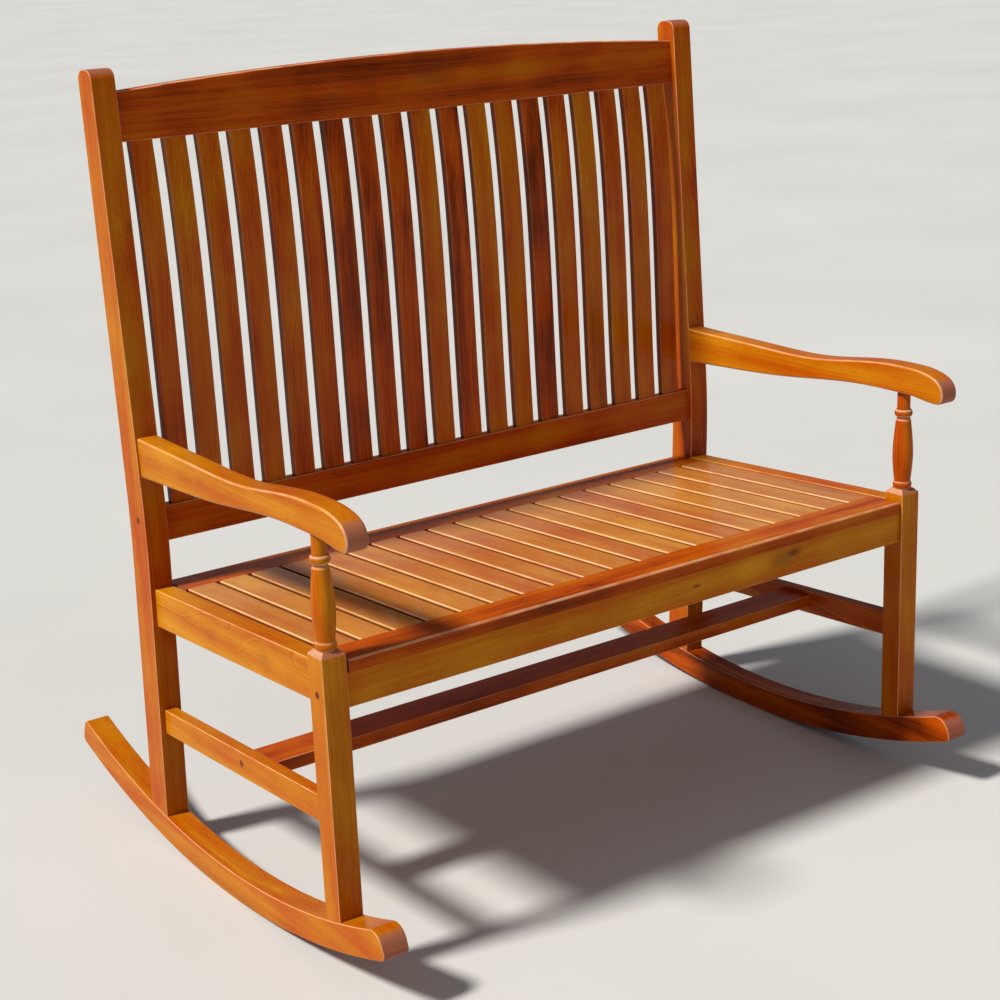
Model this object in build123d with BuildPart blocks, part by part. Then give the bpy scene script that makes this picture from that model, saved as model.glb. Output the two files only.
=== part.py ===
from build123d import *
import math
import os

# A two-seat wooden rocking bench that stands on two curved runners.
# Millimetres. X runs across the bench, -Y is the front, Z is up. The origin is on the floor, on the
# middle plane, halfway along the runners. Left is the -X side.

# ------------------------------------------------------------------ driving sizes
overall_width = 1110          # over the outer faces of the legs
seat_depth = 508              # front of the front legs to the front of the back posts at the knee
seat_height = 466             # front edge of the seat, above the floor
back_height = 1200            # top of the back posts, above the floor

leg_size = 38                 # square front legs, and the width of the back posts
leg_stand = 16                # front leg top above the seat
leg_chamfer = 7

runner_length = 955           # before its ends are rounded
runner_width = 40
runner_depth = 43
runner_radius = 1385          # underside of the runner
runner_front_reach = 115      # beyond the front face of the front legs
balance_from_front = 372      # front face of the front legs back to the lowest point of the runners
nose_top_round = 24
nose_bottom_round = 10
tail_round = 10

post_depth = 53               # below the knee
post_top_depth = 43
post_top_round = 15
knee_above_seat = 61
knee_round = 1200
foot_splay = 2.8              # degrees the post leans forward from its foot to its knee
back_rake = 3.4               # degrees the post leans back above the knee

seat_slope = 3.6              # degrees the seat and the stretchers fall towards the back
deck_thickness = 19
front_board_width = 60
rear_board_width = 68
front_board_setback = 3       # front board behind the face of the legs
board_end_gap = 4             # each end of the two boards short of the legs
nosing_round = 6
seat_slat_count = 19
seat_slat_gap = 7
tongue_length = 8             # tongue on each end of a seat slat
tongue_thickness = 8

apron_thickness = 24
apron_height = 50
apron_setback = 2.5           # apron behind the front board
rear_rail_thickness = 24
rear_rail_height = 58
rear_rail_setback = 8         # behind the front of the back posts
side_rail_height = 60
side_rail_setback = 8         # in from the outer face of the legs

stretcher_thickness = 20
stretcher_height = 40
stretcher_drop = 199          # top of the side stretchers below the top of the seat
cross_width = 70              # the long stretcher lies flat
cross_thickness = 20
cross_from_front = 218        # its front edge behind the front of the front legs
cross_below = 8               # its top below the top of the side stretchers
cross_dowel_back = 20         # its dowels behind its middle

back_rail_thickness = 24
back_rail_setback = 10        # front of the back rails behind the front of the posts
lower_rail_height = 54
lower_rail_above_seat = 70    # clear gap between the seat and the lower back rail
back_dowel_rise = 10          # dowels of the lower back rail above its middle
crest_end_height = 72
crest_rise = 19               # the middle of the crest above its ends
crest_below_top = 31          # crest ends below the tops of the posts
back_slat_count = 19
back_slat_gap = 16.6
back_slat_thickness = 14
back_slat_low_bow = 4.5       # forward of straight, a third of the way up
back_slat_high_bow = 9        # forward of straight, two thirds of the way up
back_slat_housing = 10        # depth that a slat enters each rail

arm_width = 34
arm_setback = 4               # in from the outer face of the legs
arm_rear_top = 28             # above the seat of the arm on its spindle
arm_rear_bottom = 32          # below it
arm_waist_top = 25
arm_waist_bottom = 18
arm_front_height = 44
arm_nose_reach = 75           # beyond the front face of the front legs
arm_pad_front = 17            # flat under the arm, each way from the spindle
arm_pad_rear = 42
arm_brow_back = 34            # front end of the top of the arm, behind the tip of its nose
arm_brow_drop = 4             # below the top of the arm
arm_tip_drop = 26             # tip of the nose below the top of the arm
arm_chin_back = 13            # lowest point of the nose, behind its tip
arm_chin_drop = 6             # below the seat of the arm on its spindle
arm_round = 4
spindle_height = 160          # between the leg and the arm
spindle_base_radius = 15
spindle_base_height = 12
spindle_foot_radius = 13      # above and below the base
spindle_belly_radius = 16.3
spindle_shoulder_radius = 12  # where the belly ends under the ring
spindle_groove = 3            # height of the groove under the ring
spindle_ring_radius = 14.2
spindle_ring_edge_radius = 11.5
spindle_ring_height = 12
spindle_ring_below_arm = 30
spindle_neck_radius = 10.4
spindle_pin = 16              # diameter of the round tenons
leg_pin_length = 24
arm_pin_length = 18

tenon_thickness = 14
tenon_shoulder = 8            # at each edge of a tenon
tenon_length = 18
tenon_gap = 2                 # between the end of a side rail's tenon and the tenon that crosses it
cross_tenon_length = 12
foot_tenon_length = 22
tenon_root = 2                # tenons start this far inside their own piece
fit_clearance = 0.2           # round every tenon, tongue, pin and dowel
dowel_diameter = 10
dowel_length = 50
edge_round = 2
slat_round = 3

# ------------------------------------------------------------------ places worked out from them
half_width = overall_width / 2
inner_half = half_width - leg_size
leg_centre_x = half_width - leg_size / 2
arm_centre_x = half_width - arm_setback - arm_width / 2
side_rail_thickness = leg_size - side_rail_setback
slope = math.radians(seat_slope)

knee_z = seat_height + knee_above_seat
leg_top_z = seat_height + leg_stand
arm_seat_z = leg_top_z + spindle_height

front_y = -runner_length / 2 + runner_front_reach
leg_y = front_y + leg_size / 2
leg_back_y = front_y + leg_size
knee_y = front_y + seat_depth
post_middle_y = knee_y + post_depth / 2
low_y = front_y + balance_from_front
board_front_y = front_y + front_board_setback

seat_slat_width = (2 * inner_half - (seat_slat_count + 1) * seat_slat_gap) / seat_slat_count
back_slat_width = (2 * inner_half - (back_slat_count + 1) * back_slat_gap) / back_slat_count


def post_front(z):
    """Y of the front face of the back posts at height z."""
    if z < knee_z:
        return knee_y + (knee_z - z) * math.tan(math.radians(foot_splay))
    return knee_y + (z - knee_z) * math.tan(math.radians(back_rake))


def seat_z(y):
    """Height of the top of the seat at y."""
    return seat_height - (y - board_front_y) * math.tan(slope)


def deck_under_z(y):
    """Height of the underside of the seat boards and slats at y."""
    return seat_z(y) - deck_thickness / math.cos(slope)


def runner_top_z(y):
    """Height of the top of the runners at y."""
    return runner_radius - math.sqrt((runner_radius - runner_depth) ** 2 - (y - low_y) ** 2)


def slat_centres(count, width, gap):
    """X of the middle of each slat, evenly spread over the width of the bench."""
    return [(i - (count - 1) / 2) * (width + gap) for i in range(count)]


seat_slat_x = slat_centres(seat_slat_count, seat_slat_width, seat_slat_gap)
back_slat_x = slat_centres(back_slat_count, back_slat_width, back_slat_gap)

post_foot_y = post_front(runner_top_z(post_middle_y)) + post_depth / 2
post_foot_z = runner_top_z(post_foot_y)
rear_rail_y = post_front(seat_z(knee_y)) + rear_rail_setback
deck_length = (rear_rail_y + rear_rail_thickness - board_front_y) / math.cos(slope)
seat_slat_length = deck_length - front_board_width - rear_board_width
apron_y = board_front_y + apron_setback
apron_z = deck_under_z(apron_y) - apron_height / 2
rear_rail_z = deck_under_z(rear_rail_y) - rear_rail_height / 2

# The top of the seat: local x across the bench, local y back along the seat.
deck = Plane(
    origin=(0, board_front_y, seat_height),
    x_dir=(1, 0, 0),
    z_dir=(0, math.sin(slope), math.cos(slope)),
)
seat_way = Axis((0, 0, 0), (0, math.cos(slope), -math.sin(slope)))

# The front of the back rails: local x across the bench, local y up the back.
back = Plane(
    origin=(0, knee_y + back_rail_setback, knee_z),
    x_dir=(1, 0, 0),
    z_dir=(0, -math.cos(math.radians(back_rake)), math.sin(math.radians(back_rake))),
)
lower_rail_bottom = seat_z(knee_y) + lower_rail_above_seat - knee_z
lower_rail_top = lower_rail_bottom + lower_rail_height
crest_end_top = back_height - crest_below_top - knee_z
crest_bottom = crest_end_top - crest_end_height
lower_rail_middle = (lower_rail_bottom + lower_rail_top) / 2
crest_middle = (crest_bottom + crest_end_top) / 2
lower_rail_centre = back.from_local_coords((0, lower_rail_middle, -back_rail_thickness / 2))
back_dowel_centre = back.from_local_coords((0, lower_rail_middle + back_dowel_rise, -back_rail_thickness / 2))
crest_centre = back.from_local_coords((0, crest_middle, -back_rail_thickness / 2))

stretcher_inner_x = leg_centre_x - stretcher_thickness / 2
stretcher_outer_x = leg_centre_x + stretcher_thickness / 2
cross_y = front_y + cross_from_front + cross_width / 2
cross_z = seat_z(cross_y) - stretcher_drop - cross_below - cross_thickness / 2
cross_dowel_y = cross_y + cross_dowel_back * math.cos(slope)
cross_dowel_z = cross_z - cross_dowel_back * math.sin(slope)
arm_end_z = arm_seat_z + (arm_rear_top - arm_rear_bottom) / 2


# ------------------------------------------------------------------ shapes used more than once
def side(x):
    """Side view plane at x: local x is Y, local y is Z, extruding towards +X."""
    return Plane.YZ.offset(x)


def across(end, x, y, z, lean=0):
    """Plane at one end of a crosswise piece, facing outwards; end is -1 at the left, 1 at the right."""
    angle = math.radians(lean)
    return Plane(origin=(end * x, y, z), x_dir=(0, math.cos(angle), -math.sin(angle)), z_dir=(end, 0, 0))


def lengthwise(x, y, z, way):
    """Plane at the front (-1) or the back (1) end of a piece that is parallel to the seat."""
    return Plane(origin=(x, y, z), x_dir=(1, 0, 0), z_dir=(0, way * math.cos(slope), -way * math.sin(slope)))


def tenon(plane, width, height, length, mode=Mode.ADD):
    """A square tenon standing on a plane, or its mortise, a clearance larger, when it is taken away."""
    grow = fit_clearance if mode == Mode.SUBTRACT else 0
    with BuildSketch(plane.offset(-tenon_root)) as section:
        Rectangle(width + 2 * grow, height + 2 * grow)
    extrude(section.sketch, amount=tenon_root + length + grow, mode=mode)


def pin(plane, diameter, length, mode=Mode.ADD):
    """A round pin standing on a plane, or its bore, a clearance larger, when it is taken away."""
    grow = fit_clearance if mode == Mode.SUBTRACT else 0
    with BuildSketch(plane.offset(-grow)) as section:
        Circle(diameter / 2 + grow)
    extrude(section.sketch, amount=length + 2 * grow, mode=mode)


def apron_tenon(end, mode=Mode.ADD):
    tenon(
        across(end, inner_half, apron_y + apron_thickness / 2, apron_z),
        tenon_thickness, apron_height - 2 * tenon_shoulder, tenon_length, mode,
    )


def rear_rail_tenon(end, mode=Mode.ADD):
    tenon(
        across(end, inner_half, rear_rail_y + rear_rail_thickness / 2, rear_rail_z),
        tenon_thickness, rear_rail_height - 2 * tenon_shoulder, tenon_length, mode,
    )


def back_rail_tenon(end, centre, height, mode=Mode.ADD):
    tenon(
        across(end, inner_half, centre.Y, centre.Z, back_rake),
        tenon_thickness, height - 2 * tenon_shoulder, tenon_length, mode,
    )


def cross_tenon(end, mode=Mode.ADD):
    tenon(
        across(end, stretcher_inner_x, cross_y, cross_z, seat_slope),
        cross_width - 2 * tenon_shoulder, tenon_thickness, cross_tenon_length, mode,
    )


def bar_end_y(drop, height, way):
    """Y where the middle of a bar meets the front leg (-1) or the back post (1)."""
    if way < 0:
        return leg_back_y
    return post_front(seat_z(knee_y) - drop - height / 2)


def bar_tenon(x, drop, height, length, way, mode=Mode.ADD):
    """Tenon on the front (-1) or back (1) end of a bar between the front leg and the back post."""
    y = bar_end_y(drop, height, way)
    z = seat_z(y) - drop - height / 2
    tenon(lengthwise(x, y, z, way), tenon_thickness, height - 2 * tenon_shoulder, length, mode)


def side_rail_tenon(way, mode=Mode.ADD):
    """Tenon of a side rail, which ends short of the tenon of the apron or of the rear rail."""
    if way < 0:
        crossing_y = apron_y + (apron_thickness + tenon_thickness) / 2
    else:
        crossing_y = rear_rail_y + (rear_rail_thickness - tenon_thickness) / 2
    length = abs(crossing_y - bar_end_y(0, side_rail_height, way)) - tenon_gap
    bar_tenon(-inner_half - side_rail_thickness / 2, 0, side_rail_height, length, way, mode)


def stretcher_tenon(way, mode=Mode.ADD):
    bar_tenon(-leg_centre_x, stretcher_drop, stretcher_height, tenon_length, way, mode)


def foot_tenon(y, depth, mode=Mode.ADD):
    """Tenon on the foot of a leg or a post, down into the runner."""
    foot = Plane(origin=(-leg_centre_x, y, runner_top_z(y)), x_dir=(1, 0, 0), z_dir=(0, 0, -1))
    tenon(foot, leg_size - 2 * tenon_shoulder, depth - 2 * tenon_shoulder, foot_tenon_length, mode)


def end_dowel(end, outer_x, y, z, mode=Mode.ADD):
    """Dowel driven in from an outer face, or its bore."""
    pin(across(-end, -outer_x, y, z), dowel_diameter, dowel_length, mode)


def apron_dowel(end, mode=Mode.ADD):
    end_dowel(end, half_width, apron_y + apron_thickness / 2, apron_z, mode)


def back_dowel(end, mode=Mode.ADD):
    end_dowel(end, half_width, back_dowel_centre.Y, back_dowel_centre.Z, mode)


def cross_dowel(end, mode=Mode.ADD):
    end_dowel(end, stretcher_outer_x, cross_dowel_y, cross_dowel_z, mode)


def arm_dowel(mode=Mode.ADD):
    start = Plane(
        origin=(-arm_centre_x, post_front(arm_end_z) - dowel_length / 2, arm_end_z),
        x_dir=(1, 0, 0),
        z_dir=(0, 1, 0),
    )
    pin(start, dowel_diameter, dowel_length, mode)


def runner_outline(plane):
    """Side view of a runner: two arcs about one centre, with rounded ends."""
    nose_angle = -90 - math.degrees(math.asin((low_y + runner_length / 2) / runner_radius))
    tail_angle = -90 + math.degrees(math.asin((runner_length / 2 - low_y) / runner_radius))
    centre = (low_y, runner_radius)
    with BuildSketch(plane) as outline:
        with BuildLine():
            under = CenterArc(centre, runner_radius, nose_angle, tail_angle - nose_angle)
            over = CenterArc(centre, runner_radius - runner_depth, nose_angle, tail_angle - nose_angle)
            Line(under @ 0, over @ 0)
            Line(under @ 1, over @ 1)
        make_face()
        fillet(vertices().sort_by_distance(under @ 0)[0], nose_bottom_round)
        fillet(vertices().sort_by_distance(over @ 0)[0], nose_top_round)
        fillet(vertices().sort_by_distance(under @ 1)[0], tail_round)
        fillet(vertices().sort_by_distance(over @ 1)[0], tail_round)
    return outline.sketch


def post_outline(plane):
    """Side view of a back post, running down into the runner."""
    bottom_z = post_foot_z - runner_depth / 2
    top_y = post_front(back_height)
    with BuildSketch(plane) as outline:
        with BuildLine():
            Polyline(
                (post_front(bottom_z), bottom_z),
                (knee_y, knee_z),
                (top_y, back_height),
                (top_y + post_top_depth, back_height),
                (knee_y + post_depth, knee_z),
                (post_front(bottom_z) + post_depth, bottom_z),
                close=True,
            )
        make_face()
        fillet(vertices().group_by(Axis.Y)[1], knee_round)
        fillet(vertices().group_by(Axis.Y)[-1], post_top_round)
    return outline.sketch


def crosswise_outline(plane, y, thickness, height):
    """Side view of a rail whose top lies under the sloping seat."""
    bottom_z = deck_under_z(y) - height
    with BuildSketch(plane) as outline:
        with BuildLine():
            Polyline(
                (y, bottom_z),
                (y + thickness, bottom_z),
                (y + thickness, deck_under_z(y + thickness)),
                (y, deck_under_z(y)),
                close=True,
            )
        make_face()
    return outline.sketch


def bar_outline(plane, drop, height):
    """Side view of a bar parallel to the seat, running from the front leg into the back post."""
    with BuildSketch(plane) as outline:
        with BuildLine():
            Polyline(
                (leg_back_y, seat_z(leg_back_y) - drop),
                (post_middle_y, seat_z(post_middle_y) - drop),
                (post_middle_y, seat_z(post_middle_y) - drop - height),
                (leg_back_y, seat_z(leg_back_y) - drop - height),
                close=True,
            )
        make_face()
    return outline.sketch


def back_slat_outline(plane, grow=0):
    """Side view of a bowed back slat, grown all round by a clearance."""
    bottom_z = knee_z + lower_rail_top - back_slat_housing - grow
    top_z = knee_z + crest_bottom + back_slat_housing + grow
    third = (top_z - bottom_z) / 3
    middle = back_rail_setback + back_rail_thickness / 2
    near = middle - back_slat_thickness / 2 - grow
    far = middle + back_slat_thickness / 2 + grow
    with BuildSketch(plane) as outline:
        with BuildLine():
            for offset in (near, far):
                Spline(
                    (post_front(bottom_z) + offset, bottom_z),
                    (post_front(bottom_z + third) + offset - back_slat_low_bow, bottom_z + third),
                    (post_front(top_z - third) + offset - back_slat_high_bow, top_z - third),
                    (post_front(top_z) + offset, top_z),
                )
            for z in (bottom_z, top_z):
                Line((post_front(z) + near, z), (post_front(z) + far, z))
        make_face()
    return outline.sketch


def arm_outline(plane):
    """Side view of an arm: deep at the post, waisted, flat over the spindle, with a round nose."""
    top_z = arm_seat_z + arm_front_height
    rear_top_z = arm_seat_z + arm_rear_top
    rear_bottom_z = arm_seat_z - arm_rear_bottom
    nose_y = front_y - arm_nose_reach
    span = knee_y - leg_y
    with BuildSketch(plane) as outline:
        with BuildLine():
            top = Spline(
                (post_front(rear_top_z), rear_top_z),
                (leg_y + span * 0.65, arm_seat_z + arm_waist_top),
                (leg_y + span * 0.37, arm_seat_z + arm_waist_top + 1),
                (leg_y, top_z),
                tangents=[(-1, -0.03), (-1, 0)],
            )
            nose = Spline(
                top @ 1,
                (nose_y + arm_brow_back, top_z - arm_brow_drop),
                (nose_y, top_z - arm_tip_drop),
                (nose_y + arm_chin_back, arm_seat_z - arm_chin_drop),
                tangents=[(-1, 0), (1, 0)],
            )
            tuck = Spline(nose @ 1, (leg_y - arm_pad_front, arm_seat_z), tangents=[(1, 0), (1, 0)])
            pad = Line(tuck @ 1, (leg_y + arm_pad_rear, arm_seat_z))
            under = Spline(
                pad @ 1,
                (leg_y + span * 0.52, arm_seat_z - arm_waist_bottom),
                (post_front(rear_bottom_z), rear_bottom_z),
                tangents=[(1, 0), (1, -0.06)],
            )
            Line(under @ 1, top @ 0)
        make_face()
    return outline.sketch


def cut_foot():
    """Shape the foot of a leg or a post to the top of the runner."""
    extrude(runner_outline(side(-half_width)), amount=leg_size, mode=Mode.SUBTRACT)


def finish(piece, label):
    """Label a finished piece and write it out."""
    piece.part.label = label
    export_step(piece.part, f"parts/{label}.step")


def finish_pair(piece, left_label, right_label):
    """Write a left-hand piece and its mirror image."""
    finish(piece, left_label)
    with BuildPart() as twin:
        mirror(piece.part, about=Plane.YZ)
    finish(twin, right_label)


os.makedirs("parts", exist_ok=True)

# ------------------------------------------------------------------ runners, legs and posts
with BuildPart() as runner:
    extrude(runner_outline(side(-leg_centre_x - runner_width / 2)), amount=runner_width)
    fillet(runner.faces().filter_by(Axis.X).edges(), edge_round)
    foot_tenon(leg_y, leg_size, Mode.SUBTRACT)
    foot_tenon(post_foot_y, post_depth, Mode.SUBTRACT)
finish_pair(runner, "left_runner", "right_runner")

with BuildPart() as front_leg:
    with BuildSketch(Plane.XY.offset(runner_top_z(leg_y) - runner_depth / 2)):
        with Locations((-leg_centre_x, leg_y)):
            Rectangle(leg_size, leg_size)
    extrude(amount=leg_top_z - runner_top_z(leg_y) + runner_depth / 2)
    chamfer(front_leg.faces().sort_by(Axis.Z)[-1].edges(), leg_chamfer)
    fillet(front_leg.edges().filter_by(Axis.Z), edge_round)
    cut_foot()
    foot_tenon(leg_y, leg_size)
    pin(
        Plane(origin=(-leg_centre_x, leg_y, leg_top_z), x_dir=(1, 0, 0), z_dir=(0, 0, -1)),
        spindle_pin, leg_pin_length, Mode.SUBTRACT,
    )
    apron_tenon(-1, Mode.SUBTRACT)
    apron_dowel(-1, Mode.SUBTRACT)
    side_rail_tenon(-1, Mode.SUBTRACT)
    stretcher_tenon(-1, Mode.SUBTRACT)
finish_pair(front_leg, "front_left_leg", "front_right_leg")

with BuildPart() as rear_post:
    extrude(post_outline(side(-half_width)), amount=leg_size)
    fillet(rear_post.faces().filter_by(Axis.X).edges(), edge_round)
    cut_foot()
    foot_tenon(post_foot_y, post_depth)
    rear_rail_tenon(-1, Mode.SUBTRACT)
    back_rail_tenon(-1, lower_rail_centre, lower_rail_height, Mode.SUBTRACT)
    back_rail_tenon(-1, crest_centre, crest_end_height, Mode.SUBTRACT)
    back_dowel(-1, Mode.SUBTRACT)
    arm_dowel(Mode.SUBTRACT)
    side_rail_tenon(1, Mode.SUBTRACT)
    stretcher_tenon(1, Mode.SUBTRACT)
finish_pair(rear_post, "rear_left_post", "rear_right_post")

# ------------------------------------------------------------------ seat frame
with BuildPart() as front_apron:
    section = crosswise_outline(side(-inner_half), apron_y, apron_thickness, apron_height)
    extrude(section, amount=2 * inner_half)
    fillet(front_apron.edges().filter_by(Axis.X).group_by(Axis.Z)[0], edge_round)
    for end in (-1, 1):
        apron_tenon(end)
        apron_dowel(end, Mode.SUBTRACT)
finish(front_apron, "front_apron")

with BuildPart() as rear_seat_rail:
    section = crosswise_outline(side(-inner_half), rear_rail_y, rear_rail_thickness, rear_rail_height)
    extrude(section, amount=2 * inner_half)
    fillet(rear_seat_rail.edges().filter_by(Axis.X).group_by(Axis.Z)[0], edge_round)
    for end in (-1, 1):
        rear_rail_tenon(end)
finish(rear_seat_rail, "rear_seat_rail")

with BuildPart() as side_rail:
    outer_face = side(-inner_half - side_rail_thickness)
    extrude(bar_outline(outer_face, 0, side_rail_height), amount=side_rail_thickness)
    fillet(side_rail.edges().filter_by(seat_way), edge_round)
    extrude(post_outline(outer_face), amount=side_rail_thickness, mode=Mode.SUBTRACT)
    side_rail_tenon(-1)
    side_rail_tenon(1)
finish_pair(side_rail, "left_side_rail", "right_side_rail")

with BuildPart() as side_stretcher:
    outer_face = side(-stretcher_outer_x)
    extrude(bar_outline(outer_face, stretcher_drop, stretcher_height), amount=stretcher_thickness)
    fillet(side_stretcher.edges().filter_by(seat_way), edge_round)
    extrude(post_outline(outer_face), amount=stretcher_thickness, mode=Mode.SUBTRACT)
    stretcher_tenon(-1)
    stretcher_tenon(1)
    cross_tenon(-1, Mode.SUBTRACT)
    cross_dowel(-1, Mode.SUBTRACT)
finish_pair(side_stretcher, "left_side_stretcher", "right_side_stretcher")

with BuildPart() as long_stretcher:
    with BuildSketch(side(-stretcher_inner_x)):
        with Locations((cross_y, cross_z)):
            Rectangle(cross_width, cross_thickness, rotation=-seat_slope)
    extrude(amount=2 * stretcher_inner_x)
    fillet(long_stretcher.edges().filter_by(Axis.X), edge_round)
    for end in (-1, 1):
        cross_tenon(end)
        cross_dowel(end, Mode.SUBTRACT)
finish(long_stretcher, "long_stretcher")

# ------------------------------------------------------------------ seat boards and slats
groove_depth = tongue_length + fit_clearance
groove_height = tongue_thickness + 2 * fit_clearance
groove_top = deck.offset(-(deck_thickness - groove_height) / 2)

with BuildPart() as front_seat_board:
    with BuildSketch(deck):
        with Locations((0, front_board_width / 2)):
            Rectangle(2 * (inner_half - board_end_gap), front_board_width)
    extrude(amount=-deck_thickness)
    long_edges = front_seat_board.edges().filter_by(Axis.X).sort_by(Axis.Y)
    front_edges = long_edges[:2].sort_by(Axis.Z)
    fillet(front_edges[-1], nosing_round)
    fillet(front_seat_board.edges().filter_by(Axis.X).group_by(Axis.Z)[0], edge_round)
    with BuildSketch(groove_top):
        with Locations((0, front_board_width - groove_depth / 2)):
            Rectangle(2 * inner_half, groove_depth)
    extrude(amount=-groove_height, mode=Mode.SUBTRACT)
finish(front_seat_board, "front_seat_board")

with BuildPart() as rear_seat_board:
    with BuildSketch(deck):
        with Locations((0, deck_length - rear_board_width / 2)):
            Rectangle(2 * (inner_half - board_end_gap), rear_board_width)
    extrude(amount=-deck_thickness)
    fillet(rear_seat_board.edges().filter_by(Axis.X).group_by(Axis.Y)[-1], edge_round)
    with BuildSketch(groove_top):
        with Locations((0, deck_length - rear_board_width + groove_depth / 2)):
            Rectangle(2 * inner_half, groove_depth)
    extrude(amount=-groove_height, mode=Mode.SUBTRACT)
finish(rear_seat_board, "rear_seat_board")

tongue_top = deck.offset(-(deck_thickness - tongue_thickness) / 2)
for number, x in enumerate(seat_slat_x, start=1):
    with BuildPart() as seat_slat:
        with BuildSketch(deck):
            with Locations((x, front_board_width + seat_slat_length / 2)):
                Rectangle(seat_slat_width, seat_slat_length)
        extrude(amount=-deck_thickness)
        fillet(seat_slat.edges().filter_by(seat_way), slat_round)
        with BuildSketch(tongue_top):
            with Locations((x, front_board_width + seat_slat_length / 2)):
                Rectangle(seat_slat_width, seat_slat_length + 2 * tongue_length)
        extrude(amount=-tongue_thickness)
    finish(seat_slat, f"seat_slat_{number:02d}")

# ------------------------------------------------------------------ back
with BuildPart() as lower_back_rail:
    with BuildSketch(back):
        with Locations((0, lower_rail_middle)):
            Rectangle(2 * inner_half, lower_rail_height)
    extrude(amount=-back_rail_thickness)
    fillet(lower_back_rail.edges().filter_by(Axis.X), edge_round)
    for end in (-1, 1):
        back_rail_tenon(end, lower_rail_centre, lower_rail_height)
        back_dowel(end, Mode.SUBTRACT)
    for x in back_slat_x:
        housing = back_slat_outline(side(x - back_slat_width / 2 - fit_clearance), fit_clearance)
        extrude(housing, amount=back_slat_width + 2 * fit_clearance, mode=Mode.SUBTRACT)
finish(lower_back_rail, "lower_back_rail")

with BuildPart() as crest_rail:
    with BuildSketch(back):
        with BuildLine():
            top = ThreePointArc(
                (-inner_half, crest_end_top),
                (0, crest_end_top + crest_rise),
                (inner_half, crest_end_top),
            )
            Polyline(top @ 0, (-inner_half, crest_bottom), (inner_half, crest_bottom), top @ 1)
        make_face()
    extrude(amount=-back_rail_thickness)
    fillet(crest_rail.faces().sort_by(Axis.Z)[-1].edges().sort_by(SortBy.LENGTH)[-2:], slat_round)
    fillet(crest_rail.edges().filter_by(Axis.X), edge_round)
    for end in (-1, 1):
        back_rail_tenon(end, crest_centre, crest_end_height)
    for x in back_slat_x:
        housing = back_slat_outline(side(x - back_slat_width / 2 - fit_clearance), fit_clearance)
        extrude(housing, amount=back_slat_width + 2 * fit_clearance, mode=Mode.SUBTRACT)
finish(crest_rail, "crest_rail")

for number, x in enumerate(back_slat_x, start=1):
    with BuildPart() as back_slat:
        extrude(back_slat_outline(side(x - back_slat_width / 2)), amount=back_slat_width)
        fillet(back_slat.edges().filter_by(GeomType.BSPLINE), slat_round)
    finish(back_slat, f"back_slat_{number:02d}")

# ------------------------------------------------------------------ arms and spindles
with BuildPart() as arm:
    extrude(arm_outline(side(-arm_centre_x - arm_width / 2)), amount=arm_width)
    fillet(arm.faces().filter_by(Axis.X).edges().sort_by(Axis.Y)[:-2], arm_round)
    pin(
        Plane(origin=(-leg_centre_x, leg_y, arm_seat_z), x_dir=(1, 0, 0), z_dir=(0, 0, 1)),
        spindle_pin, arm_pin_length, Mode.SUBTRACT,
    )
    arm_dowel(Mode.SUBTRACT)
finish_pair(arm, "left_arm", "right_arm")

ring_top = spindle_height - spindle_ring_below_arm
ring_bottom = ring_top - spindle_ring_height
pin_radius = spindle_pin / 2

with BuildPart() as spindle:
    turning = Plane(origin=(-leg_centre_x, leg_y, leg_top_z), x_dir=(1, 0, 0), z_dir=(0, -1, 0))
    with BuildSketch(turning):
        with BuildLine():
            foot = Polyline(
                (0, -leg_pin_length),
                (pin_radius, -leg_pin_length),
                (pin_radius, 0),
                (spindle_foot_radius, 0),
            )
            base = ThreePointArc(
                foot @ 1,
                (spindle_base_radius, spindle_base_height / 2),
                (spindle_foot_radius, spindle_base_height),
            )
            belly = Spline(
                base @ 1,
                (spindle_belly_radius, spindle_height * 0.33),
                (spindle_shoulder_radius, ring_bottom - 2 * spindle_groove),
                tangents=[(0.1, 1), (-0.1, 1)],
            )
            groove = Polyline(
                belly @ 1,
                (spindle_neck_radius, ring_bottom - spindle_groove),
                (spindle_neck_radius, ring_bottom),
                (spindle_ring_edge_radius, ring_bottom),
            )
            ring = ThreePointArc(
                groove @ 1,
                (spindle_ring_radius, ring_top - spindle_ring_height / 2),
                (spindle_ring_edge_radius, ring_top),
            )
            Polyline(
                ring @ 1,
                (spindle_neck_radius, ring_top),
                (spindle_neck_radius, spindle_height),
                (pin_radius, spindle_height),
                (pin_radius, spindle_height + arm_pin_length),
                (0, spindle_height + arm_pin_length),
                foot @ 0,
            )
        make_face()
    revolve(axis=Axis((-leg_centre_x, leg_y, 0), (0, 0, 1)))
finish_pair(spindle, "left_arm_spindle", "right_arm_spindle")

# ------------------------------------------------------------------ dowels
with BuildPart() as dowels:
    apron_dowel(-1)
    back_dowel(-1)
    cross_dowel(-1)
    arm_dowel()
    mirror(about=Plane.YZ)
finish(dowels, "dowels")
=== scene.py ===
import math

import bmesh
import bpy
from mathutils import Matrix, Vector


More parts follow.
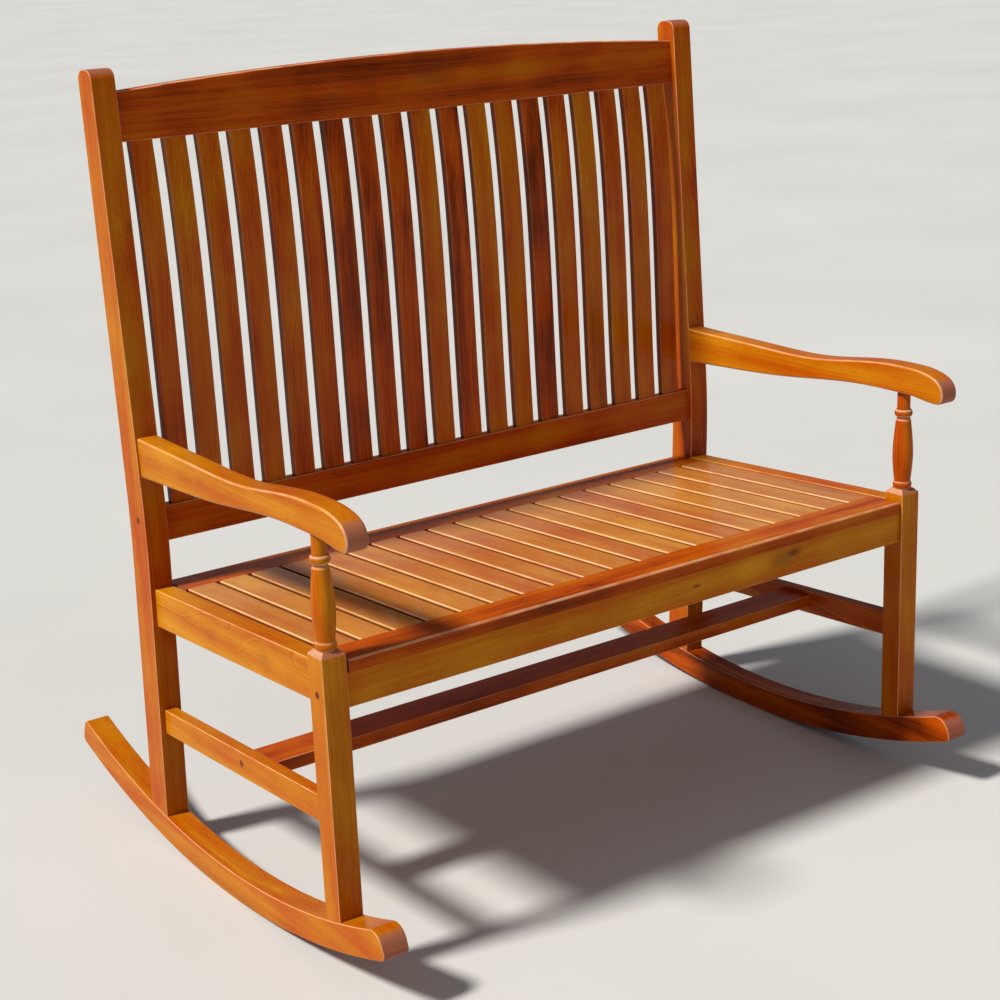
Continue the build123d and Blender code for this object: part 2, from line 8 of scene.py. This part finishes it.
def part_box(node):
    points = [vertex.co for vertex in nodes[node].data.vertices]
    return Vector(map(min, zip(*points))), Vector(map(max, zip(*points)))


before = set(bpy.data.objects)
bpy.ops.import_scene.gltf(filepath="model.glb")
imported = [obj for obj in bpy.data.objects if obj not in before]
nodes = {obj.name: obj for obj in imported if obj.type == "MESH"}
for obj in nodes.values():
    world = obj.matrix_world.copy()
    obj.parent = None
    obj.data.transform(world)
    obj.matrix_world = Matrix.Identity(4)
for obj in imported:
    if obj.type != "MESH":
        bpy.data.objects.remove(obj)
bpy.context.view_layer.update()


# ------------------------------------------------------------------ camera
CAMERA_PLACE = (-1.6926, -2.4166, 1.3949)
CAMERA_TURN = -34.823  # degrees, from looking straight at the bench's front
CAMERA_DOWN = 16.954  # degrees below level
CAMERA_ROLL = -2.341  # degrees


def set_camera():
    """Stands at the bench's front left, a little above its back, looking down at the seat."""
    camera = bpy.data.objects.new("camera", bpy.data.cameras.new("camera"))
    bpy.context.scene.collection.objects.link(camera)
    camera.data.sensor_width = 36.0
    camera.data.lens = 69.77
    camera.data.clip_end = 400.0
    turn = Matrix.Rotation(math.radians(CAMERA_TURN), 4, "Z")
    tip = Matrix.Rotation(math.radians(90.0 - CAMERA_DOWN), 4, "X")
    roll = Matrix.Rotation(math.radians(CAMERA_ROLL), 4, "Z")
    camera.matrix_world = Matrix.Translation(CAMERA_PLACE) @ turn @ tip @ roll
    bpy.context.scene.camera = camera


set_camera()


# ------------------------------------------------------------------ writing materials
class Wire:
    """A value in a material. Sums on it add the nodes that work them out."""

    def __init__(self, finish, socket):
        self.finish = finish
        self.socket = socket

    def math(self, operation, *values):
        return self.finish.node("ShaderNodeMath", {"operation": operation}, values)

    def __add__(self, other):
        return self.math("ADD", self, other)

    def __radd__(self, other):
        return self.math("ADD", other, self)

    def __sub__(self, other):
        return self.math("SUBTRACT", self, other)

    def __rsub__(self, other):
        return self.math("SUBTRACT", other, self)

    def __mul__(self, other):
        return self.math("MULTIPLY", self, other)

    def __rmul__(self, other):
        return self.math("MULTIPLY", other, self)

    def __truediv__(self, other):
        return self.math("DIVIDE", self, other)

    def __abs__(self):
        return self.math("ABSOLUTE", self)

    def floor(self):
        return self.math("FLOOR", self)

    def least(self, other):
        return self.math("MINIMUM", self, other)

    def ease(self, low, high):
        """0 below low, 1 above high, smooth between."""
        values = {"Value": self, "From Min": low, "From Max": high}
        return self.finish.node("ShaderNodeMapRange", {"interpolation_type": "SMOOTHSTEP"}, values)


class Finish:
    """One material: its nodes, and the Principled shader they end in."""

    def __init__(self, name):
        self.material = bpy.data.materials.new(name)
        self.material.use_nodes = True
        self.tree = self.material.node_tree
        self.tree.nodes.clear()
        self.shader = self.tree.nodes.new("ShaderNodeBsdfPrincipled")
        output = self.tree.nodes.new("ShaderNodeOutputMaterial")
        self.tree.links.new(self.shader.outputs[0], output.inputs["Surface"])

    def plug(self, socket, value):
        if isinstance(value, Wire):
            self.tree.links.new(value.socket, socket)
        else:
            socket.default_value = value

    def node(self, kind, settings=None, inputs=(), output=0):
        """Adds a node: its settings first, then the values or wires of its sockets."""
        made = self.tree.nodes.new(kind)
        for name, value in (settings or {}).items():
            if name == "stops":
                self.set_stops(made.color_ramp, value)
            else:
                setattr(made, name, value)
        pairs = inputs.items() if isinstance(inputs, dict) else enumerate(inputs)
        for name, value in pairs:
            self.plug(made.inputs[name], value)
        return Wire(self, made.outputs[output])

    def set_stops(self, ramp, stops):
        while len(ramp.elements) < len(stops):
            ramp.elements.new(1.0)
        for element, (place, colour) in zip(ramp.elements, stops):
            element.position = place
            element.color = (*colour, 1.0)

    def coordinate(self, kind):
        return self.node("ShaderNodeTexCoord", output=kind)

    def noise(self, place, scale, detail, roughness=0.5):
        values = {"Vector": place, "Scale": scale, "Detail": detail, "Roughness": roughness}
        return self.node("ShaderNodeTexNoise", {"noise_dimensions": "3D"}, values)

    def rings(self, radius, per_metre, detail):
        """Light and dark rings by their distance from the pith."""
        values = {"W": radius * per_metre, "Detail": detail}
        return self.node("ShaderNodeTexNoise", {"noise_dimensions": "1D"}, values)

    def draw(self, number, output="Value"):
        """A random value for each number, or three of them as a colour."""
        settings = {"noise_dimensions": "1D"}
        return self.node("ShaderNodeTexWhiteNoise", settings, {"W": number}, output)

    def ramp(self, value, *stops):
        """Colours along a value, each stop being (value, colour)."""
        return self.node("ShaderNodeValToRGB", {"stops": stops}, {"Fac": value})

    def mix(self, amount, first, second):
        """The first colour where amount is 0, the second where it is 1."""
        values = {0: amount, 6: first, 7: second if isinstance(second, Wire) else (*second, 1.0)}
        return self.node("ShaderNodeMix", {"data_type": "RGBA"}, values, 2)

    def vectors(self, operation, *values, output="Vector"):
        return self.node("ShaderNodeVectorMath", {"operation": operation}, values, output)

    def stretch(self, place, scale):
        return self.vectors("MULTIPLY", place, scale)

    def shift(self, place, step):
        return self.vectors("ADD", place, step)

    def length(self, place):
        return self.vectors("LENGTH", place, output="Value")

    def alike(self, first, second):
        """1 where two ways are in line, 0 where they are square to each other."""
        return abs(self.vectors("DOT_PRODUCT", first, second, output="Value"))

    def part_of(self, place, axis):
        return self.node("ShaderNodeSeparateXYZ", None, (place,), axis)

    def surface(self, **values):
        for name, value in values.items():
            self.plug(self.shader.inputs[name.replace("_", " ")], value)


# ------------------------------------------------------------------ hardwood
GRAIN_TURN = {"X": (0, 0, 0), "Y": (0, 0, -math.pi / 2), "Z": (0, math.pi / 2, 0)}
GRAIN_WAY = {"X": (1, 0, 0), "Y": (0, 1, 0), "Z": (0, 0, 1)}

DARK = (0.080, 0.011, 0.001)
RED = (0.370, 0.054, 0.001)
ORANGE = (0.430, 0.135, 0.002)
HONEY = (0.560, 0.240, 0.008)
PORE = (0.055, 0.012, 0.005)
KNOT = (0.120, 0.030, 0.006)
# The two pale colours below are partly painted light: a painted sheen on faces, and arrises paler
# from wear and from a painted highlight.
PAINTED_SHEEN_COLOUR = (0.660, 0.400, 0.230)
RUBBED_AND_HIGHLIT = (0.800, 0.520, 0.340)
END_GRAIN = ((0.190, 0.056, 0.038), (0.360, 0.145, 0.100))
DOWEL_END = ((0.045, 0.014, 0.008), (0.120, 0.040, 0.022))

# What a place is multiplied by for each mark: along a board, then across it both ways.
PITH_STRETCH = (0.02, 1.0, 1.0)
DRIFT_SCALE = (1.6, 9.0, 9.0)
STREAK_SCALE = (1.3, 42.0, 42.0)
FIBRE_SCALE = (9.0, 420.0, 420.0)
PORE_SCALE = (60.0, 1500.0, 1500.0)
HEART_SCALE = (1.0, 14.0, 14.0)
CLOUD_SCALE = (0.6, 1.0, 1.0)
KNOT_SHAPE = (0.45, 0.0, 1.0)

RINGS = 190  # per metre
END_RINGS = 420
RING_WANDER = 0.030  # metres
SWIRL_BEND = 0.02
SWIRL_REACH = 5  # in knot sizes: how far from a knot the rings bend round it
BOARD_SHIFT = (9.0, 0.05, 0.05)  # metres, the most that a slat's board is shifted
SHIFT_DRAW = 0.37  # off the whole numbers, so that shift and warmth are drawn apart


def part_boards(finish, place, pitch):
    """Splits a row of slats into boards.

    Gives the place as if each slat stood in the middle of the row, how far its board is shifted
    from the others, and a random value for each board.
    """
    number = (finish.part_of(place, 0) / pitch + 0.5).floor()
    across = finish.node("ShaderNodeCombineXYZ", None, (number * pitch,))
    place = finish.vectors("SUBTRACT", place, across)
    shift = finish.stretch(finish.draw(number + SHIFT_DRAW, "Color"), BOARD_SHIFT)
    return place, shift, finish.draw(number)


def lay_along_grain(finish, place, grain, centre):
    """Turns a place so that X runs along the grain, from the middle of the piece."""
    turn = GRAIN_TURN[grain]
    laid = {"Vector": place, "Rotation": turn}
    along = finish.node("ShaderNodeMapping", {"vector_type": "POINT"}, laid)
    tip, swing = Matrix.Rotation(turn[1], 3, "Y"), Matrix.Rotation(turn[2], 3, "Z")
    return finish.shift(along, tuple(-(tip @ swing @ Vector(centre))))


def grow(finish, along, pith, figure, knots):
    """How far the wood is from the pith, and how dark its knots are.

    The distance wanders along the log, and the rings swirl round each knot.
    """
    drift = finish.noise(finish.stretch(along, DRIFT_SCALE), 1.0, 2.0)
    radius = finish.length(finish.shift(finish.stretch(along, PITH_STRETCH), (0.0, *pith)))
    radius = radius + (drift - 0.5) * RING_WANDER * figure
    dark_knots = 0.0
    for knot_along, knot_up, size, depth in knots:
        near = finish.shift(along, (-knot_along, 0.0, -knot_up))
        gap = finish.length(finish.stretch(near, KNOT_SHAPE))
        swirl = 1 - gap.ease(0.0, size * SWIRL_REACH)
        radius = radius + swirl * swirl * SWIRL_BEND
        dark_knots = dark_knots + (1 - gap.ease(0.0, size)) * depth
    return radius, dark_knots


def hardwood(name, grain, centre, warmth, pith, slats=None, figure=1.0, knots=(), polish=0.05,
             arris=0.45, bleach=0.0, ends=END_GRAIN, turned=False):
    """Varnished reddish hardwood, sawn from a log whose pith runs beside it.

    grain is the axis it runs along. warmth goes from 0, deep red, to 1, honey. slats is
    (pitch, spread): each slat then comes from a board of its own, with painted shade on the sides
    that face its neighbours. knots are (along, up, size, depth) from the piece's centre. arris is
    how much the edges are paled, partly as rubbed wear and partly as a painted highlight; the next
    argument is how much the faces are paled by a painted sheen; and ends gives the two colours of
    the end grain. turned is for round pieces.
    """
    finish = Finish(name)
    place = finish.coordinate("Object")
    facing = finish.coordinate("Normal")
    if slats:
        pitch, spread = slats
        place, board_shift, board = part_boards(finish, place, pitch)
        along = finish.shift(lay_along_grain(finish, place, grain, centre), board_shift)
        warmth = warmth + (board - 0.5) * spread
    else:
        along = lay_along_grain(finish, place, grain, centre)
    radius, dark_knots = grow(finish, along, pith, figure, knots)
    rings = finish.rings(radius, RINGS, 2.5)

    # Streaks and fibres along the board, fine open pores, dark heartwood and broad clouds.
    streak = finish.noise(finish.stretch(along, STREAK_SCALE), 1.0, 3.0, 0.55)
    fibre = finish.noise(finish.stretch(along, FIBRE_SCALE), 1.0, 3.0, 0.6)
    pores = finish.noise(finish.stretch(along, PORE_SCALE), 1.0, 1.0).ease(0.62, 0.74)
    heart = finish.noise(finish.stretch(along, HEART_SCALE), 1.7, 2.0).ease(0.60, 0.82)
    cloud = finish.noise(finish.stretch(along, CLOUD_SCALE), 13.0, 2.0)

    tone = 0.42 * (rings - 0.5) + 0.75 * (streak - 0.5)
    tone = tone + 0.30 * (fibre - 0.5) + 0.55 * (cloud - 0.5)
    tone = tone * figure + warmth
    colour = finish.ramp(tone, (0.05, DARK), (0.32, RED), (0.62, ORANGE), (0.95, HONEY))
    colour = finish.mix(heart * 0.45, colour, DARK)
    colour = finish.mix(pores * 0.45, colour, PORE)
    if knots:
        colour = finish.mix((dark_knots * (0.3 + streak)).least(0.85), colour, KNOT)

    # End grain drinks more finish, so it is duller. Its rings look closer together.
    end = finish.alike(facing, GRAIN_WAY[grain]).ease(0.32, 0.75)
    end_rings = finish.rings(radius, END_RINGS, 1.0)
    end_colour = finish.ramp(end_rings, (0.35, ends[0]), (0.65, ends[1]))
    colour = finish.mix(end * 0.85, colour, end_colour)

    # Faces paled in patches by a painted sheen, painted shade on the sides of slats that face
    # across the gaps, and arrises paler, partly rubbed by hands and weather and partly a painted
    # highlight. An arris faces half towards the side of its piece.
    if bleach:
        # Painted sheen: the faces are paled in patches.
        colour = finish.mix((0.4 + 0.6 * cloud) * bleach, colour, PAINTED_SHEEN_COLOUR)
    side = finish.part_of(facing, 2 if grain == "X" or turned else 0)
    side = side * side
    if slats:
        # Painted shade: the slat sides that face across the gaps are darkened.
        colour = finish.mix(side.ease(0.93, 0.99) * 0.75, colour, DARK)
    # Paler arrises: partly rubbed wear, partly a painted highlight.
    edge_patches = finish.noise(along, 28.0, 3.0).ease(0.30, 0.65)
    worn_and_highlit = (4 * side * (1 - side)).ease(0.25, 0.95) * (0.45 + 0.55 * edge_patches)
    colour = finish.mix(worn_and_highlit * arris, colour, RUBBED_AND_HIGHLIT)

    # Varnish, smeared by hands, duller over the fibres, the pores and the worn places.
    smudge = finish.noise(along, 16.0, 4.0, 0.6)
    dullness = 0.27 + 0.16 * (smudge - 0.5) + 0.10 * (fibre - 0.5)
    dullness = dullness + 0.22 * end + 0.10 * worn_and_highlit + 0.10 * pores
    relief = 0.45 * fibre + 0.35 * rings + 0.35 * smudge - 0.9 * pores
    bump = {"Strength": 0.22, "Distance": 0.0012, "Height": relief}
    finish.surface(
        Base_Color=colour,
        Roughness=dullness,
        Normal=finish.node("ShaderNodeBump", None, bump),
        Coat_Weight=polish,
        Coat_Roughness=0.12,
        Specular_IOR_Level=0.04,
    )
    return finish.material


# ------------------------------------------------------------------ the wood of each piece
# Warmth is set low on the right runner, the crest rail and the lower back rail: partly painted
# shade, darkening and reddening faces turned from the key lamp.
FRAME_BOARDS = {  # grain, warmth, and where the pith lies in metres
    "left_runner": ("Y", 0.50, (0.06, -0.10)),
    "right_runner": ("Y", 0.20, (0.07, -0.09)),
    "front_left_leg": ("Z", 0.56, (0.05, 0.03)),
    "front_right_leg": ("Z", 0.50, (-0.04, 0.05)),
    "rear_left_post": ("Z", 0.47, (0.07, 0.05)),
    "rear_right_post": ("Z", 0.42, (-0.06, 0.04)),
    "rear_seat_rail": ("X", 0.40, (0.05, 0.06)),
    "left_side_rail": ("Y", 0.64, (0.08, -0.02)),
    "right_side_rail": ("Y", 0.55, (0.07, 0.04)),
    "crest_rail": ("X", 0.31, (0.02, 0.09)),
    "lower_back_rail": ("X", 0.38, (0.03, -0.07)),
    "left_arm": ("Y", 0.60, (0.07, -0.05)),
    "right_arm": ("Y", 0.56, (-0.08, -0.04)),
    "left_side_stretcher": ("Y", 0.58, (0.05, 0.05)),
    "right_side_stretcher": ("Y", 0.36, (0.06, 0.03)),
    "long_stretcher": ("X", 0.34, (0.07, 0.05)),
    "front_seat_board": ("X", 0.32, (0.02, -0.08)),
    "rear_seat_board": ("X", 0.32, (-0.02, -0.08)),
}
FRAME_KNOTS = {
    "crest_rail": ((0.02, 0.020, 0.034, 0.55), (-0.16, -0.012, 0.012, 0.5)),
    "rear_left_post": ((0.36, -0.013, 0.007, 0.9),),
    "left_side_rail": ((-0.10, 0.004, 0.016, 0.25), (0.06, -0.008, 0.010, 0.2)),
    "left_arm": ((0.10, 0.0, 0.008, 0.3),),
}
# A small knot right of the middle, and a dark flame beyond it.
APRON_KNOTS = ((0.089, 0.002, 0.005, 1.0), (0.262, 0.004, 0.020, 0.55), (0.288, 0.011, 0.011, 0.8))
SLAT_PITH = (0.06, 0.05)
SLAT_SPREAD = 0.30  # how far the slats of a row differ in warmth


def dress(node, material):
    """Gives a CAD piece its finish."""
    slots = nodes[node].data.materials
    slots.clear()
    slots.append(material)


def middle_of(node):
    low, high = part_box(node)
    return (Vector(low) + Vector(high)) / 2


def dress_alone(node, grain, warmth, pith, **look):
    """A piece from a board of its own."""
    label = node + "_wood"
    dress(node, hardwood(label, grain, middle_of(node), warmth, pith, **look))


def dress_slats(row, grain, warmth, **look):
    """A row of slats in one material, which draws a board for each."""
    names = sorted(name for name in nodes if name.startswith(row + "_slat"))
    pitch = (middle_of(names[-1]).x - middle_of(names[0]).x) / (len(names) - 1)
    centre = middle_of(names[len(names) // 2])
    slats = (pitch, SLAT_SPREAD)
    wood = hardwood(row + "_slat_wood", grain, centre, warmth, SLAT_PITH, slats, **look)
    for name in names:
        dress(name, wood)


for node, (grain, warmth, pith) in FRAME_BOARDS.items():
    dress_alone(node, grain, warmth, pith, knots=FRAME_KNOTS.get(node, ()))
dress_alone("front_apron", "X", 0.60, (0.02, -0.05), figure=1.1, knots=APRON_KNOTS)
# The seat's arrises carry the strongest painted highlight, and its faces a painted sheen.
dress_slats("seat", "Y", 0.60, polish=0.5, arris=0.80, bleach=0.20)
# The back's slats get a low warmth: partly painted shade on faces turned from the key lamp.
dress_slats("back", "Z", 0.39, polish=0.15, arris=0.15)
dress_alone("left_arm_spindle", "Z", 0.52, (0.03, 0.02), turned=True)
dress_alone("right_arm_spindle", "Z", 0.36, (0.03, 0.02), turned=True)
dowel_wood = hardwood(
    "dowel_wood", "X", middle_of("dowels"), 0.30, (0.02, 0.02), arris=0.2, ends=DOWEL_END
)
dress("dowels", dowel_wood)


# ------------------------------------------------------------------ floor and light
FLOOR_REACH = 90.0  # metres each way
FLOOR_DARKER = (0.49, 0.51, 0.545)
FLOOR_PALER = (0.53, 0.55, 0.585)
BENCH_MIDDLE = (0.0, 0.0, 0.45)
KEY_COLOUR = (1.0, 0.93, 0.80)
FRONT_COLOUR = (1.0, 0.82, 0.70)
ROOM_COLOUR = (0.90, 0.92, 0.95)
ROOM_STRENGTH = 0.22


def lay_floor():
    """A plain pale painted floor."""
    finish = Finish("floor_paint")
    tint = finish.noise(finish.coordinate("Object"), 0.8, 3.0)
    finish.surface(
        Base_Color=finish.ramp(tint, (0.3, FLOOR_DARKER), (0.7, FLOOR_PALER)),
        Roughness=0.75 + 0.1 * tint,
    )
    shape = bmesh.new()
    bmesh.ops.create_grid(shape, x_segments=1, y_segments=1, size=FLOOR_REACH)
    mesh = bpy.data.meshes.new("floor")
    shape.to_mesh(mesh)
    shape.free()
    floor = bpy.data.objects.new("floor", mesh)
    mesh.materials.append(finish.material)
    bpy.context.scene.collection.objects.link(floor)


def hang_light(name, kind, place, power, colour, **settings):
    """A lamp that shines from its place towards the middle of the bench."""
    light = bpy.data.lights.new(name, kind)
    light.energy = power
    light.color = colour
    for setting, value in settings.items():
        setattr(light, setting, value)
    lamp = bpy.data.objects.new(name, light)
    bpy.context.scene.collection.objects.link(lamp)
    way = Vector(BENCH_MIDDLE) - Vector(place)
    turn = way.to_track_quat("-Z", "Y").to_matrix().to_4x4()
    lamp.matrix_world = Matrix.Translation(place) @ turn


def light_studio():
    """A broad warm lamp high on the left and a little behind, a weak one in front, a pale room."""
    scene = bpy.context.scene
    scene.view_settings.view_transform = "Standard"
    hang_light("key", "SUN", (-3.4, 0.45, 4.3), 5.2, KEY_COLOUR, angle=math.radians(9))
    hang_light("front", "AREA", (-0.6, -4.2, 2.6), 22.0, FRONT_COLOUR, shape="DISK", size=3.0)
    world = bpy.data.worlds.new("room")
    world.use_nodes = True
    background = world.node_tree.nodes["Background"]
    background.inputs["Color"].default_value = (*ROOM_COLOUR, 1.0)
    background.inputs["Strength"].default_value = ROOM_STRENGTH
    scene.world = world


lay_floor()
light_studio()
